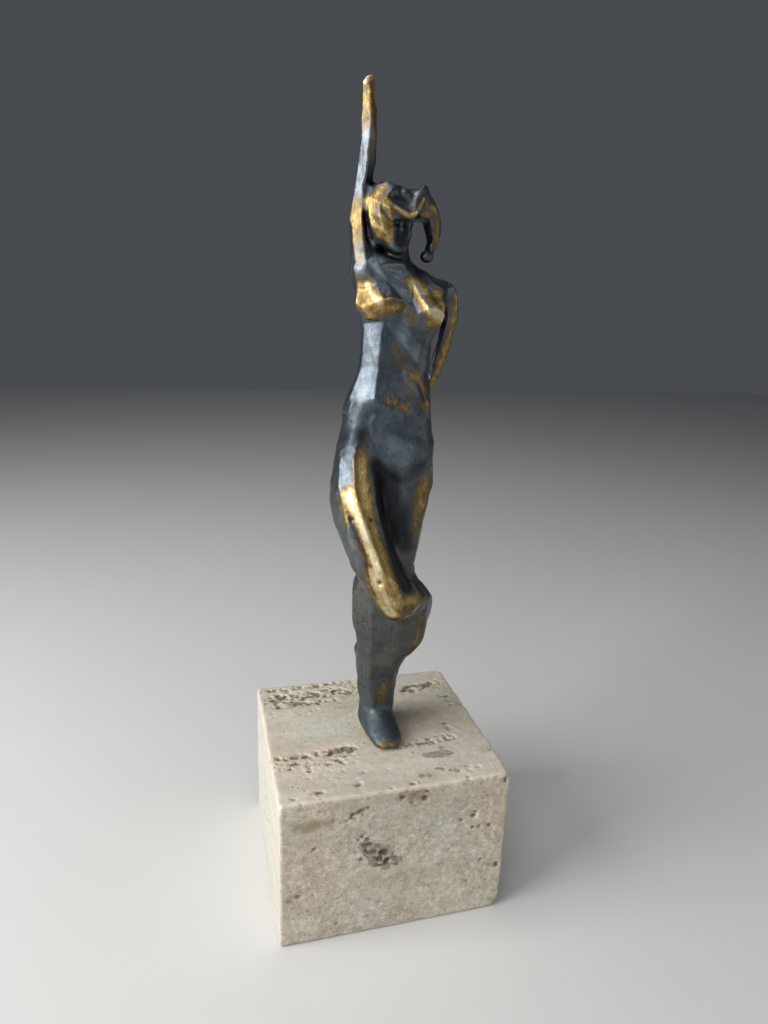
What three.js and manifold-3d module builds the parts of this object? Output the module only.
import * as THREE from 'three';
import { mergeVertices } from 'three/addons/utils/BufferGeometryUtils.js';
import Module from 'manifold-3d';

// A slender standing figure cast in bronze on a block of travertine, in millimetres.
// Z points up, the block's front faces -Y and its underside is centred on the origin.

// Sizes of the block
const BLOCK_WIDTH = 100;
const BLOCK_DEPTH = 92;
const BLOCK_HEIGHT = 71;
const BLOCK_EDGE = 0.9; // softened arris all round
const SEAT_GAP = 0.3; // between the sole and the stone

// Heights of the figure above the block's underside
const SOLE = BLOCK_HEIGHT + SEAT_GAP;
const ANKLE = SOLE + 8;
const CALF = SOLE + 40;
const KNEE = SOLE + 68;
const CROTCH = SOLE + 130;
const HIP = SOLE + 134;
const NAVEL = SOLE + 154;
const WAIST = SOLE + 173;
const BUST = SOLE + 191;
const SHOULDER = SOLE + 198;
const NECK = SOLE + 207;
const CHIN = SOLE + 211;
const CROWN = SOLE + 236;
const HAND = SOLE + 270;

// The trunk is turned a little towards the figure's own right, as seen from above
const TURN = THREE.MathUtils.degToRad(-15);
const FRONT = new THREE.Vector3(Math.sin(TURN), -Math.cos(TURN), 0);
const UP = new THREE.Vector3(0, 0, 1);

const wasm = await Module();
wasm.setup();

// Turns a closed three.js geometry into a solid that can be joined and cut
function solid(geometry) {
  const bare = geometry.clone();
  bare.deleteAttribute('normal');
  bare.deleteAttribute('uv');
  const merged = mergeVertices(bare, 1e-3);
  return new wasm.Manifold(new wasm.Mesh({
    numProp: 3,
    vertProperties: new Float32Array(merged.attributes.position.array),
    triVerts: new Uint32Array(merged.index.array),
  }));
}

// Turns a solid back into a flat-shaded three.js geometry
function geometryOf(body) {
  const mesh = body.getMesh();
  const geometry = new THREE.BufferGeometry();
  const corners = new THREE.BufferAttribute(new Float32Array(mesh.vertProperties), 3);
  geometry.setAttribute('position', corners);
  geometry.setIndex(new THREE.BufferAttribute(new Uint32Array(mesh.triVerts), 1));
  geometry.computeVertexNormals();
  return geometry;
}

// Value between rows of numbers, on a smooth curve through every row
function between(rows, t) {
  const last = rows.length - 1;
  const i = Math.min(Math.floor(t * last), last - 1);
  const u = t * last - i;
  const pick = (k) => rows[Math.min(Math.max(k, 0), last)];
  const [a, b, c, d] = [pick(i - 1), pick(i), pick(i + 1), pick(i + 2)];
  return b.map((_, n) => 0.5 * (2 * b[n] + (c[n] - a[n]) * u
    + (2 * a[n] - 5 * b[n] + 4 * c[n] - d[n]) * u * u
    + (3 * b[n] - a[n] - 3 * c[n] + d[n]) * u * u * u));
}

// A limb: a closed tube through stations of [x, y, z, half width, front depth, back depth].
// The front side of each section faces the given way. A keen value near 1 gives a ridge,
// 2 an oval and 3 a squared side. Level sections stay horizontal.
function limb(stations, options = {}) {
  const { facing = FRONT, sides = 14, steps = 4, keen = 2.2, rear = 2.2, level = false } = options;
  const rings = (stations.length - 1) * steps;
  const tube = new THREE.CylinderGeometry(1, 1, 1, sides, rings);
  const spot = tube.attributes.position;
  const local = new THREE.Vector3();
  for (let i = 0; i < spot.count; i += 1) {
    local.fromBufferAttribute(spot, i);
    const t = THREE.MathUtils.clamp(0.5 - local.y, 0, 1);
    const [x, y, z, half, front, back] = between(stations, t);
    const ahead = between(stations, Math.min(t + 0.01, 1));
    const behind = between(stations, Math.max(t - 0.01, 0));
    const along = new THREE.Vector3(...behind).sub(new THREE.Vector3(...ahead)).normalize();
    if (level) along.copy(UP);
    const face = facing.clone().addScaledVector(along, -facing.dot(along)).normalize();
    const side = new THREE.Vector3().crossVectors(along, face);
    const size = Math.hypot(local.x, local.z);
    if (size < 0.5) {
      spot.setXYZ(i, x, y, z);
      continue;
    }
    const power = local.z > 0 ? keen : rear;
    const reach = (Math.abs(local.x) ** power + Math.abs(local.z) ** power) ** (-1 / power);
    const depth = local.z > 0 ? front : back;
    const point = new THREE.Vector3(x, y, z)
      .addScaledVector(side, local.x * reach * half)
      .addScaledVector(face, local.z * reach * depth);
    spot.setXYZ(i, point.x, point.y, point.z);
  }
  return solid(tube);
}

// A rounded lump: a stretched ball, turned about Z and tipped about X
function lump([x, y, z], [rx, ry, rz], { spin = 0, tip = 0, sides = 14, bands = 9 } = {}) {
  const ball = new THREE.SphereGeometry(1, sides, bands);
  ball.rotateX(Math.PI / 2);
  ball.scale(rx, ry, rz);
  ball.rotateX(THREE.MathUtils.degToRad(tip));
  ball.rotateZ(THREE.MathUtils.degToRad(spin));
  ball.translate(x, y, z);
  return solid(ball);
}

// Trunk from the collar to the crotch
function trunk() {
  return limb([
    [3, 1, NECK + 1, 5, 3, 4],
    [3.2, 1, NECK - 3, 13, 6, 7],
    [5, 1, SHOULDER + 1, 18, 8.5, 8.5],
    [5, 1, BUST, 16.8, 9, 9.5],
    [3.9, 1, BUST - 8, 15.2, 9, 9],
    [3.8, 0, WAIST, 13.8, 8.6, 8],
    [2.8, -0.5, WAIST - 8, 14.4, 8.8, 8],
    [1.4, 0, NAVEL, 17.8, 9.6, 9],
    [1, 1, NAVEL - 10, 19, 10.6, 10.5],
    [0.8, 2, HIP + 2, 21, 11, 12.5],
    [0.8, 2.5, HIP - 6, 20.8, 9.6, 12.5],
    [0.6, 3, HIP - 14, 17, 6, 10],
    [0, 2.5, HIP - 26, 10, 6, 8],
    [-0.5, 1, HIP - 38, 5, 4, 5],
  ], { sides: 20, steps: 3, keen: 2.5, rear: 2.3, level: true });
}

// Standing leg from the hip to the ankle, the left one
function standingLeg() {
  return limb([
    [11.5, 2, HIP + 3, 8, 5, 8],
    [11.8, 1.5, CROTCH - 2, 10.6, 7.6, 12],
    [11.4, 1, CROTCH - 14, 10.8, 9.2, 12],
    [9.6, 0.5, KNEE + 37, 10.4, 9.6, 11],
    [7.3, 0, KNEE + 22, 10.2, 9.4, 10],
    [3.2, -0.5, KNEE + 10, 12.6, 9, 10],
    [6, -1, KNEE + 1, 17.6, 8.6, 10],
    [6.6, -0.8, KNEE - 8, 18, 9, 10],
    [6.8, 0, KNEE - 17, 17, 9.4, 10],
    [6.2, 1, KNEE - 25, 14.8, 9.4, 10],
    [3.4, 2.2, CALF - 4, 11.4, 9, 9.4],
    [2, 3, CALF - 12, 9.6, 8.4, 8.6],
    [2.2, 3.5, ANKLE + 9, 8.4, 7.6, 7.6],
    [2.2, 4, ANKLE, 7.6, 7.2, 7.4],
    [2.2, 4.5, SOLE + 2, 7.4, 7.2, 7.4],
  ], { sides: 18, steps: 3, keen: 2.1, level: true });
}

// Standing foot, flat on the block, from the heel to the cut ends of the toes
function standingFoot() {
  return limb([
    [2.2, 13, SOLE + 3, 3.5, 2.5, 4],
    [2.2, 10.5, SOLE + 3, 6, 6, 4],
    [1.8, 4, SOLE + 3, 8, 12, 4],
    [2, -3, SOLE + 3, 8, 9.6, 4],
    [2.4, -9, SOLE + 3, 8, 6, 4],
    [2.6, -14, SOLE + 3, 7.6, 3.8, 4],
    [2.4, -18, SOLE + 3, 6.6, 2.4, 4],
    [2.2, -20.8, SOLE + 2.2, 5.2, 1.8, 4],
  ], { facing: UP, sides: 16, steps: 2, keen: 2.1, rear: 3 });
}

// Raised thigh, the right one, crossing in front with a ridge down its front
function raisedThigh() {
  return limb([
    [-6, 3, HIP + 20, 4, 3, 4],
    [-9, 2.4, HIP + 10, 7.4, 8, 8],
    [-11.4, 0, HIP, 9.8, 10.8, 10],
    [-12.4, -3.5, HIP - 10, 10.6, 11.4, 11],
    [-12.8, -7, HIP - 21, 10.8, 11.4, 11],
    [-10.8, -10.5, KNEE + 34, 10.2, 11.4, 10],
    [-7, -13.5, KNEE + 23, 9.6, 11, 9.4],
    [-1.6, -15.5, KNEE + 12, 9.8, 10.8, 9],
    [3.8, -16, KNEE + 4, 10, 10.2, 8.6],
    [5.4, -16, KNEE - 2, 8, 7.6, 7],
    [5.4, -16, KNEE - 5.5, 3.4, 4, 4],
  ], { sides: 14, steps: 2, keen: 1.45 });
}

// Lower leg of the raised side: out from the knee, round the back of the standing
// calf, and its foot hooked to the far side
function raisedCalf() {
  return limb([
    [3, -15, KNEE + 4, 6, 6, 6],
    [10, -12, KNEE + 1.5, 8, 6.4, 7.4],
    [16.5, -5, KNEE - 2.5, 8.6, 6.4, 8.4],
    [19.4, 3, KNEE - 9, 9, 6.6, 9],
    [16.5, 10.5, KNEE - 18, 8.6, 6, 7],
    [9, 14.5, KNEE - 26, 6.4, 5, 5.4],
    [0.5, 13.5, KNEE - 30, 5.4, 4.4, 4.6],
    [-4.4, 10, KNEE - 32, 4, 3, 3.6],
    [-6.4, 6.4, KNEE - 33, 2.2, 1.8, 2.2],
  ], { facing: UP, sides: 12, steps: 2, keen: 2, rear: 2 });
}

// Raised right arm, cut off above the wrist with one slanting face
function raisedArm() {
  const arm = limb([
    [-3, 1, BUST + 3, 6, 5, 5],
    [-7.4, 0.5, SHOULDER + 3, 7.2, 6.8, 6.8],
    [-9.4, 0, NECK, 6.2, 5.8, 5.8],
    [-11.2, -0.6, NECK + 8, 5, 5, 5],
    [-12, -0.8, NECK + 16, 4.4, 4.4, 4.4],
    [-11.8, -0.6, NECK + 24, 4.1, 4.2, 4.2],
    [-10.8, 0, NECK + 33, 3.9, 3.9, 3.9],
    [-10.1, 0, NECK + 43, 3.7, 3.6, 3.6],
    [-10.3, 0, NECK + 51, 3.2, 3.1, 3.1],
    [-10.8, 0, NECK + 58, 2.6, 2.6, 2.6],
    [-10.8, 0, HAND + 1.5, 2.2, 2.1, 2.1],
  ], { sides: 10, steps: 2, keen: 2.6, rear: 2.6 });
  const cut = new THREE.BoxGeometry(14, 14, 6);
  cut.rotateY(THREE.MathUtils.degToRad(-50));
  cut.translate(-14.3, 0, HAND + 1.8);
  return arm.subtract(solid(cut));
}

// Left arm, down from the shoulder and round behind the waist
function loweredArm() {
  return limb([
    [17, 1, SHOULDER - 1, 5, 5, 5],
    [24, 1.5, SHOULDER - 1, 5, 5, 5],
    [28, 3, SHOULDER - 7, 4, 4, 4],
    [28, 5.5, SHOULDER - 15, 3.6, 3.6, 3.6],
    [27.2, 8.5, SHOULDER - 23, 3.4, 3.4, 3.4],
    [25.8, 11.5, SHOULDER - 31, 3.2, 3.3, 3.3],
    [24, 14.5, SHOULDER - 38, 3, 3.1, 3.1],
    [18.4, 16, SHOULDER - 43, 2.9, 2.9, 2.9],
    [9.5, 14, SHOULDER - 46, 2.8, 2.6, 2.6],
    [2.5, 11.5, SHOULDER - 47, 3.4, 2.2, 2.6],
    [-1.5, 9.5, SHOULDER - 47, 2.4, 1.6, 2],
  ], { sides: 10, steps: 2, keen: 2.4, rear: 2.4 });
}

// Neck and a plain egg-shaped head with the chin drawn in
function headAndNeck() {
  const neck = limb([
    [3, 2, SHOULDER + 2, 7.5, 5, 6],
    [2.6, 1.4, NECK, 5.6, 4.6, 5],
    [1.2, 0, CHIN + 2, 5, 4.4, 4.8],
    [0, -1, CHIN + 9, 5, 4.6, 4.8],
  ], { sides: 12, steps: 2 });
  const head = limb([
    [-0.5, -3, CROWN - 1, 3, 3, 4],
    [-0.5, -3, CROWN - 4, 6.4, 6.6, 8],
    [-0.4, -3.2, CROWN - 9, 7.6, 8.4, 9],
    [0, -3.6, CHIN + 11, 7.4, 8.6, 8.4],
    [0.2, -4.4, CHIN + 6, 6.4, 7.8, 6],
    [0.4, -5.6, CHIN + 2, 4.6, 6, 4.6],
    [0.6, -6.4, CHIN, 2.6, 3.8, 3],
  ], { sides: 14, steps: 2, keen: 2, level: true });
  return neck.add(head);
}

// Hair: a full cap to one side, a rolled fringe, and locks blown to the other side
function hair() {
  const cap = lump([-4, -1.8, CROWN - 11.4], [8, 10, 12.4], { spin: -8, tip: -6 });
  const back = lump([0.5, 4, CROWN - 11], [8.4, 8, 10.6]);
  const sweep = lump([7.4, 0.6, CROWN - 7.2], [7.6, 6.4, 6], { tip: -10 });
  const fringe = limb([
    [-7.4, -7.4, CROWN - 7, 2, 2, 2],
    [-4.8, -10.4, CROWN - 10.4, 2.2, 1.8, 2.6],
    [-0.5, -11.8, CROWN - 13.2, 2.1, 1.8, 3],
    [3.6, -11.2, CROWN - 12.8, 2.1, 1.8, 3],
    [7, -8.4, CROWN - 8.8, 2.3, 2.2, 3],
    [9.8, -5, CROWN - 4.6, 2.6, 2.4, 3],
    [12, -1.4, CROWN - 1.4, 2.2, 2, 2.4],
    [12.8, 0.4, CROWN + 0.1, 1.2, 1.2, 1.2],
  ], { sides: 10, steps: 2 });
  const lock = limb([
    [10, 0, CROWN - 4, 3, 3, 3.4],
    [13.4, -0.6, CROWN - 7.4, 4, 3.6, 4],
    [15.6, -0.6, CROWN - 11.4, 3.8, 3.6, 4],
    [17, -0.4, CROWN - 16, 3.1, 3.2, 3.6],
    [17.2, -0.2, CROWN - 20.4, 2.5, 2.6, 2.8],
    [15.6, -0.4, CROWN - 24, 1.8, 1.8, 2],
  ], { sides: 10, steps: 2 });
  const curl = lump([14.9, -1.6, CROWN - 25.6], [2.4, 2.2, 2.4], { sides: 10, bands: 6 });
  const nape = limb([
    [4, 5, CROWN - 18, 5, 3, 4],
    [6, 4.6, CHIN, 3.6, 2.8, 3],
    [8.6, 4, NECK - 2, 3, 2.6, 2.6],
    [10.4, 3, SHOULDER + 3, 3, 2.4, 2.4],
  ], { sides: 8, steps: 2 });
  return wasm.Manifold.union([cap, back, sweep, fringe, lock, curl, nape]);
}

// A breast: a slope of the given length down from the collar, a swell and a fold
function breast(x, y, height, half, slope) {
  return limb([
    [x + 1, y + 5, height + slope, half * 0.5, 2, 3],
    [x + 0.5, y + 2.6, height + slope / 2, half * 0.85, 4, 4],
    [x, y + 0.8, height + 1.5, half, 6.2, 5],
    [x, y + 0.8, height - 3, half * 0.97, 5.6, 5],
    [x, y + 2.2, height - 7, half * 0.84, 3, 4],
    [x, y + 3.4, height - 11, half * 0.6, 1.4, 3],
  ], { sides: 14, steps: 2, keen: 1.7, level: true });
}

// Breasts and buttocks
function roundings() {
  return wasm.Manifold.union([
    breast(-5.8, -6.6, BUST + 1, 9.2, 15),
    breast(13, -6.6, BUST - 1, 8.8, 10),
    lump([-7.6, 9.5, HIP - 3], [11, 9.5, 13], { spin: -15 }),
    lump([12, 8, HIP - 5], [10.4, 9.5, 12.6], { spin: -15 }),
  ]);
}

// One casting: everything joined, with the sole trimmed flat
function figureBody() {
  const joined = wasm.Manifold.union([
    trunk(), standingLeg(), standingFoot(), raisedThigh(), raisedCalf(),
    raisedArm(), loweredArm(), headAndNeck(), hair(), roundings(),
  ]);
  const room = new THREE.BoxGeometry(BLOCK_WIDTH, BLOCK_DEPTH, HAND - SOLE + 20);
  room.translate(0, 0, SOLE + (HAND - SOLE + 20) / 2);
  return geometryOf(joined.intersect(solid(room)));
}

// The stone: a rectangular block with its arrises taken off
function blockBody() {
  const half = [BLOCK_WIDTH / 2 - BLOCK_EDGE, BLOCK_DEPTH / 2 - BLOCK_EDGE];
  const outline = new THREE.Shape([
    new THREE.Vector2(-half[0], -half[1]), new THREE.Vector2(half[0], -half[1]),
    new THREE.Vector2(half[0], half[1]), new THREE.Vector2(-half[0], half[1]),
  ]);
  const body = new THREE.ExtrudeGeometry(outline, {
    depth: BLOCK_HEIGHT - 2 * BLOCK_EDGE,
    bevelThickness: BLOCK_EDGE,
    bevelSize: BLOCK_EDGE,
    bevelSegments: 2,
  });
  body.translate(0, 0, BLOCK_EDGE);
  return geometryOf(solid(body));
}

const bronze = new THREE.MeshStandardMaterial({
  name: 'dark_bronze', color: 0x4a4238, roughness: 0.38, metalness: 0.9,
});
const travertine = new THREE.MeshStandardMaterial({
  name: 'travertine', color: 0xcbbfab, roughness: 0.75, metalness: 0,
});

const figure = new THREE.Mesh(figureBody(), bronze);
figure.name = 'figure';

const plinth = new THREE.Mesh(blockBody(), travertine);
plinth.name = 'plinth';

const statue = new THREE.Group();
statue.add(plinth, figure);

export default statue;
